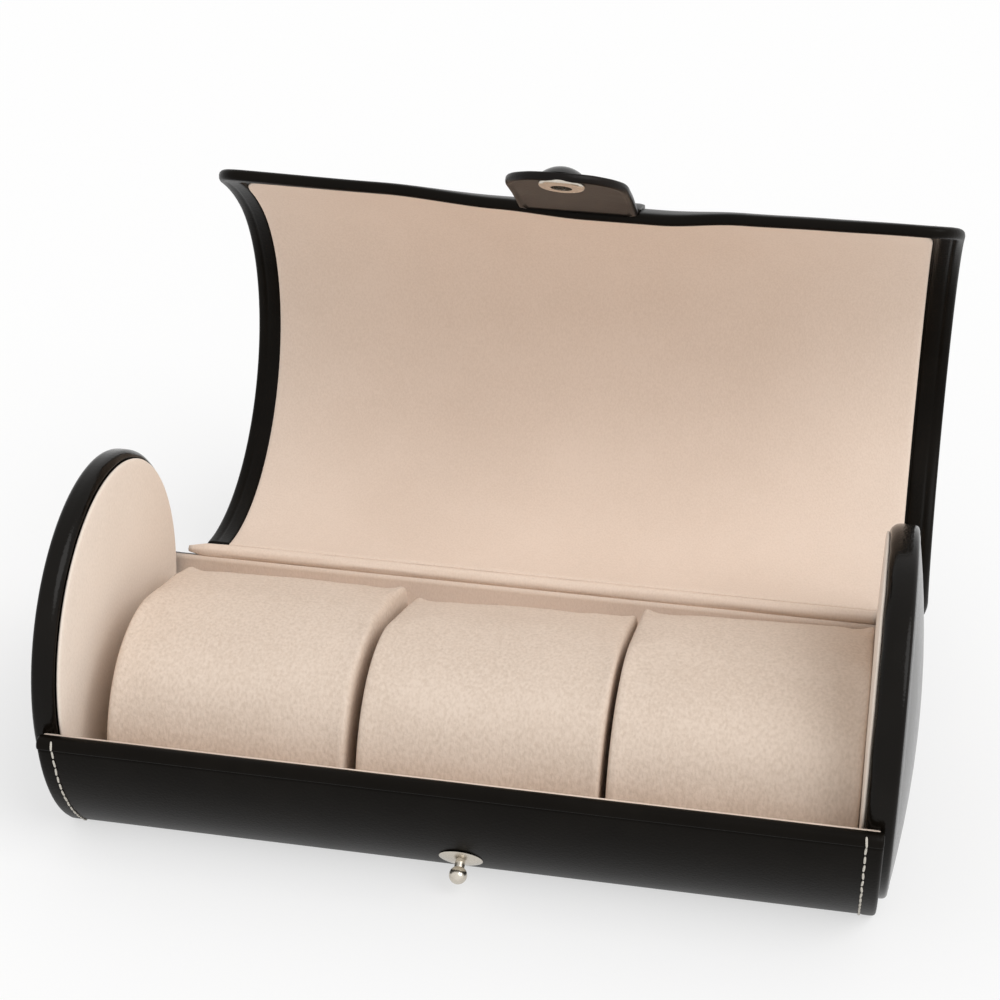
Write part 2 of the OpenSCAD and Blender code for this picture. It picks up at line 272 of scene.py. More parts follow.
def makeNickel(name):
    f = Finish(name)
    where = f.place()
    smear = f.speckle(where, 1.6, 3)
    fine = f.speckle(where, 0.12, 2)
    f.set(
        Base_Color=f.mixed(smear, (0.52, 0.47, 0.40), (0.74, 0.69, 0.61)),
        Metallic=1.0,
        Roughness=0.16 + smear * 0.18,
        Normal=f.bumped(fine, 0.004),
    )
    return f.material


def makeThread(name):
    f = Finish(name)
    where = f.place()
    twistAndGrooveShade = f.node(
        "ShaderNodeTexWave", {"bands_direction": "DIAGONAL"},
        {"Vector": where, "Scale": 1 / (0.9 * mm), "Distortion": 0.6})
    fuzz = f.speckle(where, 0.2, 2)
    # the colour is darker in the twist's grooves, the wave's low points: painted shade, with a random fuzz
    # tone on top
    f.set(
        Base_Color=f.mixed(twistAndGrooveShade * 0.6 + fuzz * 0.4, (0.47, 0.43, 0.37), (0.78, 0.74, 0.66)),
        Roughness=0.75,
        Normal=f.bumped(twistAndGrooveShade, 0.06),
    )
    return f.material


def makeCard(name):
    f = Finish(name)
    where = f.place()
    fibre = f.speckle(where, 0.5, 4, 0.7)
    f.set(
        Base_Color=f.mixed(fibre, (0.22, 0.17, 0.12), (0.36, 0.29, 0.21)),
        Roughness=0.9,
        Normal=f.bumped(fibre, 0.05),
    )
    return f.material


leather = makeLeather("black leather", leatherLook)
discLeather = makeLeather("disc leather", {**leatherLook, "roughness": 0.17, "shine": 0.12})
tabLook = {**leatherLook, "black": (0.0060, 0.0042, 0.0034), "worn": (0.0110, 0.0075, 0.0058), "shine": 0.12}
tabLeather = makeLeather("tab leather", tabLook)
suede = makeSuede("pillow suede", suedeLook)
velvet = makeSuede("lining velvet", velvetLook)
# the end discs' velvet is the lining velvet painted lighter: painted light for the light that falls on the
# disc faces
litDiscLook = {**velvetLook, "light": (0.86, 0.755, 0.66), "deep": (0.80, 0.695, 0.60)}
discVelvetPaintedLight = makeSuede("disc velvet painted lighter", litDiscLook)
nickel = makeNickel("nickel")
enamel = makeLeather("black enamel", {**leatherLook, "grainDepth": 0.004, "roughness": 0.25, "shine": 0.4})
thread = makeThread("cream thread")
card = makeCard("grey board")
print("finishes made")


# Mesh helpers

def addPiece(name, points, faces, material, body, stands=()):
    # points are in millimetres, in the box's own frame
    mesh = bpy.data.meshes.new(name)
    mesh.from_pydata([(x * mm, y * mm, z * mm) for x, y, z in points], [], faces)
    mesh.validate()
    work = bmesh.new()
    work.from_mesh(mesh)
    bmesh.ops.recalc_face_normals(work, faces=work.faces)
    work.to_mesh(mesh)
    work.free()
    mesh.materials.append(material)
    mesh.shade_smooth()
    piece = bpy.data.objects.new(name, mesh)
    scene.collection.objects.link(piece)
    if body:
        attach(piece, body)
    if stands:
        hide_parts(*stands)
    return piece


def loft(loops, capped=True):
    # joins closed loops of equal length, each to the next
    n = len(loops[0])
    points = [p for loop in loops for p in loop]
    faces = []
    for i in range(len(loops) - 1):
        for j in range(n):
            k = (j + 1) % n
            faces.append((i * n + j, i * n + k, (i + 1) * n + k, (i + 1) * n + j))
    if capped:
        faces.append(tuple(range(n))[::-1])
        faces.append(tuple(range((len(loops) - 1) * n, len(loops) * n)))
    return points, faces


def sweepLoop(path, section):
    # path: (y, z, inward y, inward z) along the wall, section: closed (x, depth) loop
    return loft([[(x, y + d * ny, z + d * nz) for x, d in section] for y, z, ny, nz in path])


def arcPoints(cy, cz, r, a0, a1, n, sign=-1):
    made = []
    for i in range(n + 1):
        a = math.radians(a0 + (a1 - a0) * i / n)
        c, s = math.cos(a), math.sin(a)
        made.append((cy + r * c, cz + r * s, sign * c, sign * s))
    return made


def wallPath(frontTop, backTop, fillet=5.0):
    # the trough's outside from its front rim, under the flat, to its back edge
    r, h = box["wallRadius"], box["axisHeight"]
    fy = math.sqrt((r - fillet) ** 2 - (h - fillet) ** 2)
    meet = math.degrees(math.atan2(fillet - h, fy))
    front = math.degrees(math.asin((frontTop - h) / r))
    back = math.degrees(math.asin((backTop - h) / r))
    path = arcPoints(0, h, r, 180 - front, 180 - meet, 22)
    path += arcPoints(-fy, fillet, fillet, 180 - meet, 270, 5)[1:]
    path += [(-fy + 2 * fy * i / 12, 0, 0, 1) for i in range(1, 12)]
    path += arcPoints(fy, fillet, fillet, 270, 360 + meet, 5)
    path += arcPoints(0, h, r, 360 + meet, 360 + back, 20)[1:]
    return path


# Trough

trough = {
    "endRound": 1.0,
    "hem": 4.2,
    "groove": 0.16,
    "flush": 0.10,
    "lipHeight": 37.0,
    "backLip": 30.6,
}


def makeTrough(t):
    x, r, deep, cover = halfWall, t["endRound"], box["wallDepth"], box["coverDepth"]
    hem = t["hem"]
    side = [
        (x - cover, deep + 0.05), (x - r * 0.35, deep - 0.05), (x - 0.08, deep - 0.5),
        (x, deep - 1.1), (x, r * 1.2), (x - r * 0.12, r * 0.62), (x - r * 0.4, r * 0.25),
        (x - r * 0.9, 0.03), (x - r * 1.6, 0.0), (x - hem * 0.6, 0.0),
        (x - hem + 0.9, 0.02), (x - hem + 0.4, t["groove"] * 0.7),
        (x - hem, t["groove"]), (x - hem - 0.4, t["groove"] * 0.7),
        (x - hem - 0.9, t["flush"]),
    ]
    outer = side + [(x * f, t["flush"]) for f in (0.8, 0.5, 0.2)]
    outer += [(-a, b) for a, b in reversed(outer)]
    loop = outer + [(-x + cover, cover), (x - cover, cover)]
    points, faces = sweepLoop(wallPath(box["rimHeight"], box["backHeight"]), loop)
    addPiece("trough_leather", points, faces, leather, "base", ["base_cover"])

    inner = x - cover
    deep0 = deep - 0.6
    loop = [
        (-inner, deep0), (inner, deep0), (inner, deep - 0.15), (inner - 0.5, deep + 0.02),
        (inner * 0.5, deep), (0, deep), (-inner * 0.5, deep), (-inner + 0.5, deep + 0.02),
        (-inner, deep - 0.15)]
    points, faces = sweepLoop(wallPath(t["lipHeight"], t["backLip"]), loop)
    addPiece("trough_velvet", points, faces, velvet, "base", ["base_lining"])


makeTrough(trough)


rim = {
    "centreY": -49.9,
    "height": 2.2,
    "wave": 0.06,
}


def makeRim(r):
    # the leather turned over the front wall, with its cut edge just proud of the front
    y0, z0, h = r["centreY"], box["rimHeight"], r["height"]
    section = [(y0 + 2.0, z0 - 0.5), (y0 + h, z0)]
    for i in range(1, 12):
        a = math.radians(i * 15)
        section.append((y0 + h * math.cos(a), z0 + h * math.sin(a) ** 0.92))
    section += [
        (y0 - h - 0.02, z0 + 0.15), (y0 - h - 0.06, z0 - 0.15), (y0 - h - 0.02, z0 - 0.42),
        (y0 - h + 0.2, z0 - 0.55), (y0 - h + 0.5, z0 - 0.5)]
    loops = []
    ends = [(0, 0.55), (0.12, 0.80), (0.4, 0.94), (0.9, 1.0)]
    stations = [(-halfWall + d, s) for d, s in ends]
    stations += [(-halfWall + 0.9 + (2 * halfWall - 1.8) * i / 60, 1.0) for i in range(1, 60)]
    stations += [(halfWall - d, s) for d, s in reversed(ends)]
    for x, s in stations:
        lift = r["wave"] * noise.noise(Vector((x * 0.06, 1.7, 0)))
        loops.append([(x, y0 + (y - y0) * s, z0 + (z - z0) * s + lift) for y, z in section])
    points, faces = loft(loops)
    addPiece("front_rim", points, faces, leather, "base", ["front_binding"])


makeRim(rim)
print("trough made")


# End discs

disc = {
    "radius": 47.6,
    "foot": 3.8,
    "edgeAt": 107.2,
    "dome": 4.3,
    "velvetRound": 2.2,
    "corner": 7.0,
    "pucker": 0.16,
}


def discOutline(inset):
    # the disc's outline in (y, z), with its foot cut off level and that cut's corners eased
    r, h = disc["radius"] - inset, box["axisHeight"]
    low = disc["foot"] + inset
    fillet = max(disc["corner"] - inset, 0.6)
    fy = math.sqrt((r - fillet) ** 2 - (h - low - fillet) ** 2)
    meet = math.degrees(math.atan2(low + fillet - h, fy))
    made = arcPoints(0, h, r, meet, 180 - meet, 88)
    made += arcPoints(-fy, low + fillet, fillet, 180 - meet, 270, 6)[1:]
    made += [(-fy + 2 * fy * i / 12, low, 0, 1) for i in range(1, 12)]
    made += arcPoints(fy, low + fillet, fillet, 270, 360 + meet, 6)[:-1]
    return [(y, z) for y, z, _, _ in made]


def discRings(profile, side, pucker=0.0):
    # profile: (inset, x), rings that follow the outline and then shrink to its middle
    loops = []
    for inset, x in profile:
        ring = discOutline(min(inset, 12))
        if inset > 12:
            share = (disc["radius"] - inset) / (disc["radius"] - 12)
            ring = [(y * share, box["axisHeight"] + (z - box["axisHeight"]) * share) for y, z in ring]
        made = []
        for y, z in ring:
            wave = noise.noise(Vector((y * 0.13, z * 0.13, side * 9.0)))
            edge = max(0.0, 1 - abs(inset - 1.2) / 1.2) if x < disc["edgeAt"] - 2 else 0.0
            made.append((side * (x + pucker * edge * wave * 2), y, z))
        loops.append(made)
    return loops


def makeDisc(name, side, face):
    # face: how far out the velvet lies
    at, dome, soft = disc["edgeAt"], disc["dome"], disc["velvetRound"]
    leatherEdge = [
        (3.0, face + 1.3), (soft - 0.05, face + 1.1), (soft - 0.2, face + 0.75), (1.6, face + 0.7),
        (1.1, face + 1.0), (0.6, face + 1.5), (0.2, face + 2.2), (0.03, face + 2.9),
        (0.0, face + 3.6), (0.0, at - 1.6), (0.06, at - 1.0), (0.3, at - 0.45), (0.75, at - 0.08),
        (1.15, at + 0.06), (1.5, at + 0.04), (1.9, at + 0.12), (2.6, at + 0.32)]
    flat = disc["radius"] - 1.5
    for inset in (4, 7, 12, 18, 25, 32, 39, 44, 46.5):
        leatherEdge.append((inset, at + dome * (1 - ((disc["radius"] - inset) / flat) ** 2)))
    points, faces = loft(discRings(leatherEdge, side, disc["pucker"]))
    addPiece(
        "end_leather_" + name, points, faces, discLeather, "base",
        ["end_cover_" + name, "end_board_" + name, "end_padding_" + name])

    profile = [
        (soft + 0.7, face + 0.7), (soft + 0.15, face + 0.45), (soft, face + 0.1),
        (soft + 0.15, face - 0.15), (soft + 0.7, face - 0.3), (4.2, face - 0.4)]
    for inset in (6, 9, 12, 20, 28, 36, 43, 46.5):
        profile.append((inset, face - 0.4 - 0.35 * min((inset - 4) / 14, 1)))
    points, faces = loft(discRings(profile, side))
    addPiece(
        "end_velvet_" + name, points, faces, discVelvetPaintedLight, "base", ["end_lining_" + name])


makeDisc("left", -1, 100.6)
makeDisc("right", 1, 99.35)
print("end discs made")


# Lid

lid = {
    "corner": 9.0,
    "cornerReach": 1.7,
    "lining": 16.0,
    "liningShift": 0.7,
    "hingeCorner": 1.5,
    "border": 7.5,
    "flareFrom": 140.0,
    "columns": 72,
    "straightRows": 64,
}
# how much of its curl the free edge loses along the box, where the board springs open
lidFlare = [(-120, 0.32), (-94, 0.32), (-45, 0.26), (-12, 0.10), (12, 0.0), (32, 0.0),
            (54, 0.15), (76, 0.18), (96, 0.20), (125, 0.20)]
# how far the free edge draws back along the box
lidTrim = [(-120, 2.5), (-92, 2.5), (-30, 0.8), (-8, 0.0), (40, 0.0), (80, 0.4), (125, 1.0)]


def eased(stops, x):
    # the value at x between stops of (x, value), with soft steps
    for (x0, k0), (x1, k1) in zip(stops, stops[1:]):
        if x <= x1:
            t = min(max((x - x0) / (x1 - x0), 0), 1)
            return k0 + (k1 - k0) * t * t * (3 - 2 * t)
    return stops[-1][1]


def openedLid(x, y, z):
    # carries a point of the closed lid to where the open lid holds it
    a = math.radians(-box["lidOpen"])
    dy, dz = y - box["hingeY"], z - box["hingeZ"]
    return (
        x + box["lidShift"],
        box["hingeY"] + dy * math.cos(a) - dz * math.sin(a),
        box["hingeZ"] + dy * math.sin(a) + dz * math.cos(a))


def onLid(x, s, h):
    # x along the box, s along the arc from the hinge edge, h outward from the lid's inner face
    if x > 95 and s < 14:  # the right corner at the hinge is eased off
        x -= (x - 95) * 0.5 * (1 - s / 14) ** 2
    s -= eased(lidTrim, x + box["lidShift"]) * max((s / lidArc - 0.7) / 0.3, 0)
    turn = math.radians(box["lidStart"]) + s / lidMid
    bend = math.radians(lid["flareFrom"])
    y, z = box["lidY"], box["lidZ"]
    r = lidMid
    if turn > bend:
        loose = eased(lidFlare, x + box["lidShift"])
        r = lidMid / (1 - loose)
        y += (lidMid - r) * math.cos(bend)
        z += (lidMid - r) * math.sin(bend)
        turn = bend + (turn - bend) * (1 - loose)
    r += h - box["lidDepth"] / 2
    return openedLid(x, y + r * math.cos(turn), z + r * math.sin(turn))


def panelRows(inset, low, high, half, corner, lowCorner, straight):
    # (s, half width) of each row of a rounded panel that is drawn in by inset
    wide = half - inset
    r1 = max(corner - inset, 0.4)
    r0 = max(lowCorner - inset, 0.2)
    reach = r1 * lid["cornerReach"]
    rows = []
    for i in range(7):
        a = math.radians(i * 15)
        rows.append((low + r0 * (1 - math.cos(a)), wide - r0 * (1 - math.sin(a))))
    for i in range(1, straight):
        rows.append((low + r0 + (high - reach - low - r0) * i / straight, wide))
    for i in range(10):
        a = math.radians(i * 10)
        rows.append((high - reach * (1 - math.sin(a)), wide - r1 * (1 - math.cos(a))))
    return rows


def panelGrid(rows, columns, height, place):
    made = []
    for s, wide in rows:
        line = []
        for j in range(columns + 1):
            x = -wide + 2 * wide * j / columns
            line.append(place(x, s, height(x, s)))
        made.append(line)
    return made


def ringOf(grid):
    ring = [line[0] for line in grid]
    ring += grid[-1][1:-1]
    ring += [line[-1] for line in reversed(grid)]
    ring += grid[0][-2:0:-1]
    return ring


def padBetween(first, rings, last):
    # a closed solid: one grid, the rings that lead round its edge, and the other grid
    points, faces = [], []
    stacks = []
    for grid in (first, last):
        rows, columns = len(grid), len(grid[0])
        start = len(points)
        for line in grid:
            points.extend(line)
        index = [[start + i * columns + j for j in range(columns)] for i in range(rows)]
        for i in range(rows - 1):
            for j in range(columns - 1):
                quad = (index[i][j], index[i][j + 1], index[i + 1][j + 1], index[i + 1][j])
                faces.append(quad)
        stacks.append(ringOf(index))
    loops = [stacks[0]]
    for ring in rings:
        start = len(points)
        points.extend(ring)
        loops.append(list(range(start, start + len(ring))))
    loops.append(stacks[1])
    for a, b in zip(loops, loops[1:]):
        n = len(a)
        for i in range(n):
            k = (i + 1) % n
            faces.append((a[i], a[k], b[k], b[i]))
    return points, faces


def lidPanel(profile, top, bottom, topHeight, bottomHeight, startAt, corner):
    # profile: (inset, height) from the outer grid's edge round to the inner grid's edge
    def rowsFor(inset):
        return panelRows(
            inset, startAt(inset), lidArc - inset, halfLid, corner, lid["hingeCorner"],
            lid["straightRows"])
    columns = lid["columns"]
    first = panelGrid(rowsFor(top), columns, topHeight, onLid)
    last = panelGrid(rowsFor(bottom), columns, bottomHeight, onLid)
    rings = []
    for inset, h in profile:
        flat = panelGrid(rowsFor(inset), columns, lambda x, s: h, onLid)
        rings.append(ringOf(flat))
    return padBetween(first, rings, last)


def makeLid():
    deep = box["lidDepth"]
    puff = lambda x, s: deep + 0.05 * noise.noise(Vector((x * 0.05, s * 0.05, 3.0)))
    under = lambda x, s: 0.5
    border = lid["border"]
    profile = [
        (2.2, deep), (1.3, deep - 0.06), (0.6, deep - 0.3), (0.15, deep - 0.75), (0.0, deep - 1.4),
        (0.1, 0.75), (0.45, 0.2), (1.0, -0.08), (1.9, -0.2), (2.7, -0.17), (3.05, -0.05), (3.4, -0.17),
        (4.0, -0.2), (border - 1.2, -0.2), (border - 0.5, -0.14), (border - 0.1, 0.1), (border, 0.45)]
    start = lambda inset: 2.3 + min(inset, 1.2)
    points, faces = lidPanel(profile, 3.2, border + 0.3, puff, under, start, lid["corner"])
    addPiece(
        "lid_leather", points, faces, leather, "lid",
        ["lid_cover", "lid_border", "lid_board"])

    crown = lambda x, s: -0.42 - 0.10 * noise.noise(Vector((x * 0.03, s * 0.03, 8.0)))
    back = lambda x, s: 0.47
    profile = [(border + 1.5, -0.4), (border + 0.7, -0.3), (border + 0.25, -0.1), (border + 0.1, 0.15),
               (border + 0.15, 0.4)]
    start = lambda inset: 2.2 + max(inset - border, 0)
    points, faces = lidPanel(profile, border + 2.6, border + 0.9, crown, back, start, lid["lining"])
    points = [(x - lid["liningShift"], y, z) for x, y, z in points]
    addPiece("lid_velvet", points, faces, velvet, "lid", ["lid_lining"])


makeLid()
print("lid made")


# Hinge strip

hinge = {
    "radius": 2.0,
    "wrinkle": 0.30,
    "velvetFrom": -98.0,
    "velvetTo": 99.0,
    "cord": 1.72,
    "short": 4.0,
    "columns": 150,
}


def makeHinge(h):
    y0, z0 = box["hingeY"], box["hingeZ"]
    count = h["columns"]
    loops = []
    for i in range(count + 1):
        x = h["velvetFrom"] + (h["velvetTo"] - h["velvetFrom"]) * i / count
        slack = h["wrinkle"] * (1.0 if x < -30 else 0.5)
        taper = min(1.0, 0.45 + (x - h["velvetFrom"]) / 9)
        loop = []
        for a in range(-30, 221, 16):
            fold = noise.noise(Vector((x * 0.035, a * 0.04, 2.0)))
            fold += 0.5 * noise.noise(Vector((x * 0.12, a * 0.06, 5.0)))
            r = (h["radius"] + slack * fold) * taper
            loop.append((x, y0 + r * math.cos(math.radians(a)), z0 + r * math.sin(math.radians(a))))
        loops.append(loop)
    points, faces = loft(loops)
    addPiece("hinge_velvet", points, faces, velvet, "hinge", ["hinge_lining"])

    loops = []
    start, end = box["lidShift"] - halfLid, box["lidShift"] + halfLid - h["short"]
    for i in range(count + 1):
        x = start + (end - start) * i / count
        loop = []
        for a in range(0, 360, 20):
            r = h["cord"] + 0.05 * noise.noise(Vector((x * 0.1, a * 0.05, 7.0)))
            loop.append((x, y0 + r * math.cos(math.radians(a)), z0 + r * math.sin(math.radians(a))))
        loops.append(loop)
    points, faces = loft(loops)
    addPiece("hinge_back", points, faces, leather, "hinge", ["hinge_leather"])


makeHinge(hinge)
print("hinge made")


# Tab

tab = {
    "x": 10.6,
    "y": 71.4792,
    "z": 137.815,
    "width": 32.0,
    "socketAt": 33.2225,
    "past": 6.3,
    "tip": 16.0,
    "hole": 3.3,
    "thick": 2.0,
    "bead": 0.32,
    "dish": 0.9,
    "around": 112,
}


def onTab(x, y, h):
    # a point of the tab in its own frame: y to its tip, h towards its inner side
    a = math.radians(box["tabTurn"])
    return (
        tab["x"] + x,
        tab["y"] + y * math.cos(a) - h * math.sin(a),
        tab["z"] + y * math.sin(a) + h * math.cos(a))


def tabReach(angle, inset):
    # how far the outline lies from the socket's centre in one direction
    half, tip = tab["width"] / 2 - inset, tab["socketAt"] + tab["past"] - inset
    r = tab["tip"] - inset
    dx, dy = math.cos(angle), math.sin(angle)
    far = 60.0
    if abs(dx) > 1e-6:
        far = min(far, half / abs(dx))
    if dy < -1e-6:
        far = min(far, (tab["socketAt"] - 0.2) / -dy)
    cy = tip - r - tab["socketAt"]
    middle = dy * cy
    root = middle * middle - cy * cy + r * r
    if root > 0 and dy * far > cy - 0.5:
        far = min(far, middle + math.sqrt(root))
    return far


def makeTab(t):
    n, half = t["around"], t["thick"] / 2
    corners = [math.atan2(-t["socketAt"] + 0.2, s * t["width"] / 2) for s in (-1, 1)]
    angles = sorted([math.tau * i / n - math.pi for i in range(n)] + corners)

    def ring(share, inset, h):
        made = []
        for a in angles:
            far = tabReach(a, inset)
            near = t["hole"]
            d = near + (far - near) * share
            x, y = d * math.cos(a), t["socketAt"] + d * math.sin(a)
            curl = -t["dish"] * (x / (t["width"] / 2)) ** 2 * min(max(y, 0) / 14, 1)
            made.append(onTab(x, y, h + curl + 0.05 * noise.noise(Vector((x * 0.2, y * 0.2, 1)))))
        return made

    bead = t["bead"]
    loops = [ring(0, 0, -half + 0.1), ring(0, 0, half - 0.2), ring(0.02, 0, half)]
    loops += [ring(s, 1.7, half) for s in (0.25, 0.5, 0.75, 0.94)]
    loops += [
        ring(1, 1.75, half + 0.02), ring(1, 1.4, half + bead * 0.7), ring(1, 1.0, half + bead),
        ring(1, 0.5, half + bead * 0.75), ring(1, 0.15, half - 0.15), ring(1, 0, half - 0.7),
        ring(1, 0.05, -half + 0.5), ring(1, 0.3, -half + 0.15), ring(1, 0.8, -half)]
    loops += [ring(s, 0.8, -half) for s in (0.75, 0.5, 0.25, 0.02)]
    points, faces = loft(loops, False)
    count = len(loops[0])
    last = len(points) - count
    for i in range(count):
        k = (i + 1) % count
        faces.append((last + i, last + k, k, i))
    addPiece(
        "tab_leather", points, faces, tabLeather, "tab", ["tab_outer", "tab_lining"])


def makeTabRoot(t):
    # the end of the strip that is glued to the lid and turns over its edge
    loops = []
    end, start = lidArc - 0.3, lidArc - 13.5
    for i in range(25):
        x = t["x"] - box["lidShift"] - t["width"] / 2 + t["width"] * i / 24
        edge = min(i, 24 - i)
        drop = 0.25 if edge == 0 else 0.0
        top = [(start + (end - start) * j / 12, box["lidDepth"] + 1.3 - drop) for j in range(13)]
        top[0] = (start, box["lidDepth"] + 0.5)
        low = [(end + 0.5, box["lidDepth"] + 0.7), (end, box["lidDepth"] - 0.1),
               (start, box["lidDepth"] - 0.1)]
        loops.append([onLid(x, s, h) for s, h in top + low])
    points, faces = loft(loops)
    addPiece("tab_root", points, faces, leather, "lid", ["tab_anchor"])


makeTab(tab)
makeTabRoot(tab)
print("tab made")


# Stitches

stitch = {
    "length": 2.6,
    "pitch": 3.0,
    "radius": 0.28,
    "proud": 0.06,
}


def capsule(middle, along, out, length, radius):
    # one stitch, whose ends dip into the leather
    side = along.cross(out)
    points, faces = [], []
    rings = [(-0.5, 0.25), (-0.44, 0.72), (-0.3, 1), (0, 1.05), (0.3, 1), (0.44, 0.72), (0.5, 0.25)]
    for step, wide in rings:
        for i in range(8):
            a = math.tau * i / 8
            p = middle + along * (step * length) + side * (radius * wide * math.cos(a))
            p += out * (radius * wide * 0.8 * math.sin(a) - radius * 0.9 * abs(step) ** 3)
            points.append(tuple(p))
    for k in range(len(rings) - 1):
        for i in range(8):
            j = (i + 1) % 8
            faces.append((k * 8 + i, k * 8 + j, k * 8 + 8 + j, k * 8 + 8 + i))
    faces.append(tuple(range(8))[::-1])
    faces.append(tuple(range(len(points) - 8, len(points))))
    return points, faces


def stitchRow(name, line, body, s):
    # line: points and outward normals along the seam
    points, faces = [], []
    walked, target = 0.0, s["length"] * 0.5
    for (a, out), (b, _) in zip(line, line[1:]):
        step = (b - a).length
        while target <= walked + step:
            middle = a.lerp(b, (target - walked) / step) + out * s["proud"]
            middle.z = max(middle.z, s["radius"])  # clear of the floor
            along = (b - a).normalized()
            turn = random.uniform(-0.10, 0.10)
            along = (along + along.cross(out) * turn).normalized()
            made, quads = capsule(
                middle, along, out, s["length"] * random.uniform(0.92, 1.05), s["radius"])
            start = len(points)
            points += made
            faces += [tuple(start + i for i in quad) for quad in quads]
            target += s["pitch"]
        walked += step
    return addPiece(name, points, faces, thread, body)


def makeStitches(s):
    random.seed(4)
    for name, side in (("left", -1), ("right", 1)):
        x = side * (halfWall - trough["hem"])
        line = []  # over the front rim, then down the wall
        for a in (122, 134, 146, 158, 170):
            out = Vector((0, math.cos(math.radians(a)), math.sin(math.radians(a))))
            at = Vector((x, rim["centreY"], box["rimHeight"])) + out * rim["height"]
            line.append((at, out))
        for y, z, ny, nz in wallPath(box["rimHeight"] - 0.2, box["backHeight"] - 0.6):
            line.append((Vector((x, y, z)), Vector((0, -ny, -nz))))
        stitchRow("wall_stitches_" + name, line, "base", s)
        line = []
        xl = side * (halfLid - lid["border"] - 0.6)
        for i in range(161):
            at = 3.0 + (lidArc - 14.0) * i / 160
            a = Vector(onLid(xl, at, box["lidDepth"]))
            out = (Vector(onLid(xl, at, box["lidDepth"] + 1)) - a).normalized()
            line.append((a, out))
        stitchRow("lid_stitches_" + name, line, "lid", s)


makeStitches(stitch)
print("stitches made")


# Pillows

pillow = {
    "frontR": 29.0, "frontY": -11.0, "frontZ": 22.0,
    "backR": 9.0, "backY": 27.0, "backZ": 30.0,
    "coreY": -4.0, "coreZ": 24.0,
    "bowl": 47.4,
    "floor": 4.1,
    "inset": 0.5,
    "around": 84,
    "stations": 21,
    "pressure": 4.0,
    "cap": 2.2,
    "crisp": 6.0,
    "edge": 1.03,
    "fill": 0.85,
    "frames": 20,
}
# x of each pillow's two ends, and how far its back edge rises there
pillowSpans = {
    "left": ((-92.0, 0.6), (-29.6, 1.2)),
    "middle": ((-26.8, -2.0), (35.0, -0.6)),
    "right": ((36.5, 2.2), (98.8, 4.0)),
}


def pillowTop(y, grow):
    # height of the belt that runs over the front roll and the back roll
    p = pillow
    r0, r1 = p["frontR"] + grow, p["backR"] + grow
    dy, dz = p["backY"] - p["frontY"], p["backZ"] - p["frontZ"]
    lean = math.atan2(dz, dy) + math.acos((r0 - r1) / math.hypot(dy, dz))
    y0, z0 = p["frontY"] + r0 * math.cos(lean), p["frontZ"] + r0 * math.sin(lean)
    y1, z1 = p["backY"] + r1 * math.cos(lean), p["backZ"] + r1 * math.sin(lean)
    if y <= y0:
        return p["frontZ"] + math.sqrt(max(r0 * r0 - (y - p["frontY"]) ** 2, 0))
    if y <= y1:
        return z0 + (z1 - z0) * (y - y0) / (y1 - y0)
    return p["backZ"] + math.sqrt(max(r1 * r1 - (y - p["backY"]) ** 2, 0))


def insidePillow(y, z, grow):
    p = pillow
    if math.hypot(y, z - box["axisHeight"]) > p["bowl"] + min(grow, 0) or z < p["floor"] - min(grow, 0):
        return False
    if y < p["frontY"] - p["frontR"] - grow or y > p["backY"] + p["backR"] + grow:
        return False
    return z <= pillowTop(y, grow)


def pillowOutline(grow, count):
    # equally spaced points round the section, found by walking out from its middle
    cy, cz = pillow["coreY"], pillow["coreZ"]
    fine = []
    for i in range(720):
        a = math.tau * i / 720
        low, high = 5.0, 60.0
        for _ in range(22):
            mid = (low + high) / 2
            if insidePillow(cy + mid * math.cos(a), cz + mid * math.sin(a), grow):
                low = mid
            else:
                high = mid
        fine.append((cy + low * math.cos(a), cz + low * math.sin(a)))
    fine.append(fine[0])
    walked = [0.0]
    for (ya, za), (yb, zb) in zip(fine, fine[1:]):
        walked.append(walked[-1] + math.hypot(yb - ya, zb - za))
    made, k = [], 0
    for i in range(count):
        target = walked[-1] * i / count
        while walked[k + 1] < target:
            k += 1
        t = (target - walked[k]) / (walked[k + 1] - walked[k])
        (ya, za), (yb, zb) = fine[k], fine[k + 1]
        made.append((ya + (yb - ya) * t, za + (zb - za) * t))
    return made


def makePillow(name, start, end, outline):
    p = pillow
    (x0, rise0), (x1, rise1) = start, end
    cy, cz = p["coreY"], p["coreZ"]
    left, right = x0 + p["inset"], x1 - p["inset"]
    shares = (0.08, 0.25, 0.42, 0.58, 0.73, 0.87)  # rings across each flat end
    stations = [(left, share) for share in shares]
    for i in range(p["stations"] + 1):
        at = left + (right - left) * i / p["stations"]
        stations.append((at, p["edge"] if i in (0, p["stations"]) else 1.0))
    stations += [(right, share) for share in reversed(shares)]
    loops = []
    for x, share in stations:
        t = (x - left) / (right - left)
        loop = []
        for y, z in outline:
            # only the upper back rises
            lift = (rise0 + (rise1 - rise0) * t) * min(max((y + 20) / 50, 0), 1)
            lift *= min(max((z - 14) / 20, 0), 1)
            loop.append((x, cy + (y - cy) * share, cz + (z + lift - cz) * share))
        loops.append(loop)
    points, faces = loft(loops)
    piece = addPiece(
        "pillow_" + name, points, faces, suede, None,
        ["pillow_cover_" + name, "pillow_foam_" + name])
    swell(piece, p)
    settle(piece, x0, x1)
    smooth = piece.modifiers.new("smooth", "SUBSURF")
    smooth.levels = smooth.render_levels = 1
    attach(piece, "pillow_" + name)


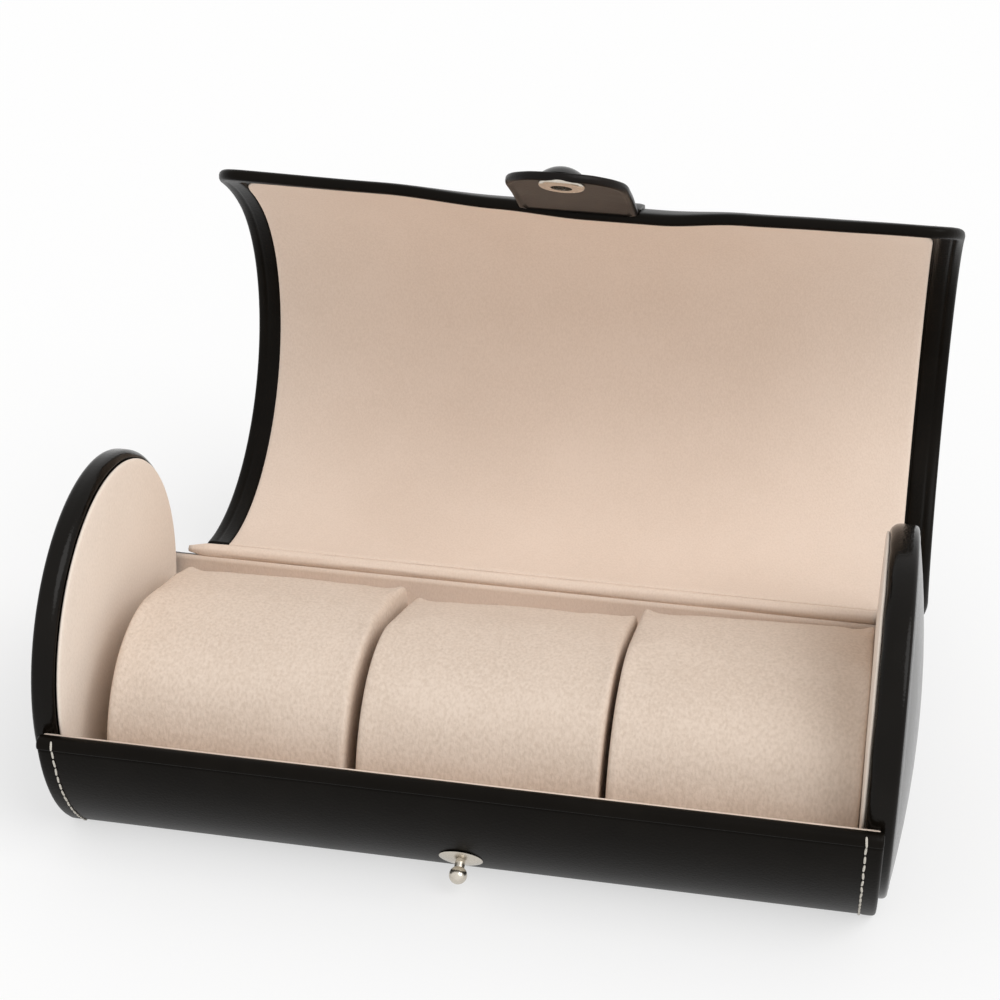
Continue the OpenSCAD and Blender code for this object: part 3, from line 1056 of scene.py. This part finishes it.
def swell(piece, p):
    # cloth under pressure, with each point's move held to the cap
    cloth = piece.modifiers.new("cloth", "CLOTH")
    cloth.settings.use_pressure = True
    cloth.settings.uniform_pressure_force = p["pressure"]
    cloth.settings.quality = 6
    cloth.settings.mass = 0.25
    cloth.settings.tension_stiffness = 12
    cloth.settings.compression_stiffness = 12
    cloth.settings.bending_stiffness = 0.4
    cloth.settings.effector_weights.gravity = 0
    cloth.point_cache.frame_end = p["frames"]
    for frameNumber in range(1, p["frames"] + 1):
        scene.frame_set(frameNumber)
    graph = bpy.context.evaluated_depsgraph_get()
    puffed = [v.co.copy() for v in piece.evaluated_get(graph).data.vertices]
    piece.modifiers.remove(cloth)
    for v, co in zip(piece.data.vertices, puffed):
        move = co - v.co
        if move.length > p["cap"] * mm:
            move *= p["cap"] * mm / move.length
        v.co += move
    scene.frame_set(1)


def settle(piece, x0, x1):
    # keeps the swollen pillow in its place between its neighbours and in the bowl
    for v in piece.data.vertices:
        x, y, z = v.co / mm
        x = min(max(x, x0 + 0.1), x1 - 0.1)
        near = min(x - x0, x1 - x)
        if near < pillow["crisp"]:  # draws the rounded end out to a crisp edge
            move = near - near * near / pillow["crisp"]
            x += -move if x - x0 < x1 - x else move
        z = max(z, pillow["floor"] + 0.05)
        away = math.hypot(y, z - box["axisHeight"])
        limit = pillow["bowl"] - 0.1
        if away > limit:
            y *= limit / away
            z = box["axisHeight"] + (z - box["axisHeight"]) * limit / away
        v.co = Vector((x, y, z)) * mm


outline = pillowOutline(-pillow["inset"], pillow["around"])
for name, (start, end) in pillowSpans.items():
    makePillow(name, start, end, outline)
print("pillows made")

for name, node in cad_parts.items():
    node.data.materials.clear()
    if "board" in name or "card" in name:
        node.data.materials.append(card)
    elif name == "snap_cap":
        node.data.materials.append(enamel)
    elif name.startswith(("snap", "stud")):
        node.data.materials.append(nickel)
    elif "lining" in name and not name.startswith("tab"):
        node.data.materials.append(velvet)
    elif name.startswith(("pillow", "end_padding")):
        node.data.materials.append(suede)
    else:
        node.data.materials.append(leather)


# Floor and light

room = {
    "floor": (0.955, 0.953, 0.950),
    "world": 0.68,
    "sun": 1.4,
    "lift": 0.6,
}


def makeFloor(r):
    size = 6.0
    mesh = bpy.data.meshes.new("floor")
    corners = [(-size, -size, 0), (size, -size, 0), (size, size, 0), (-size, size, 0)]
    mesh.from_pydata(corners, [], [(0, 1, 2, 3)])
    floor = bpy.data.objects.new("floor", mesh)
    scene.collection.objects.link(floor)
    f = Finish("floor")
    grain = f.speckle(f.place(), 3, 2)
    f.set(
        Base_Color=f.mixed(grain, r["floor"], (0.962, 0.960, 0.957)),
        Roughness=0.9,
        Specular_IOR_Level=0.0,
    )
    white = f.node("ShaderNodeEmission")
    lit = Wire(f, f.shader.outputs[0])
    mix = f.node("ShaderNodeMixShader", None, {0: f.facing() * r["lift"], 1: lit, 2: white})
    f.feed(f.tree.nodes["Material Output"].inputs["Surface"], mix)
    mesh.materials.append(f.material)


def makeWorld(r):
    scene.world = bpy.data.worlds.new("studio")
    f = Finish("studio", scene.world, "Background")
    f.set(Color=(1, 1, 1), Strength=r["world"] + f.facing() * (1 - r["world"]))


def makeSun(name, place, width, power):
    data = bpy.data.lights.new(name, "SUN")
    data.angle = math.radians(width)
    data.energy = power
    lamp = bpy.data.objects.new(name, data)
    turn = (-Vector(place)).to_track_quat("-Z", "Y")
    lamp.matrix_world = Matrix.Translation(place) @ turn.to_matrix().to_4x4()
    scene.collection.objects.link(lamp)


makeFloor(room)
makeWorld(room)
makeSun("key", (0.75, -0.35, 1.0), 45, room["sun"])
print("room made")

scene.view_settings.view_transform = "Standard"
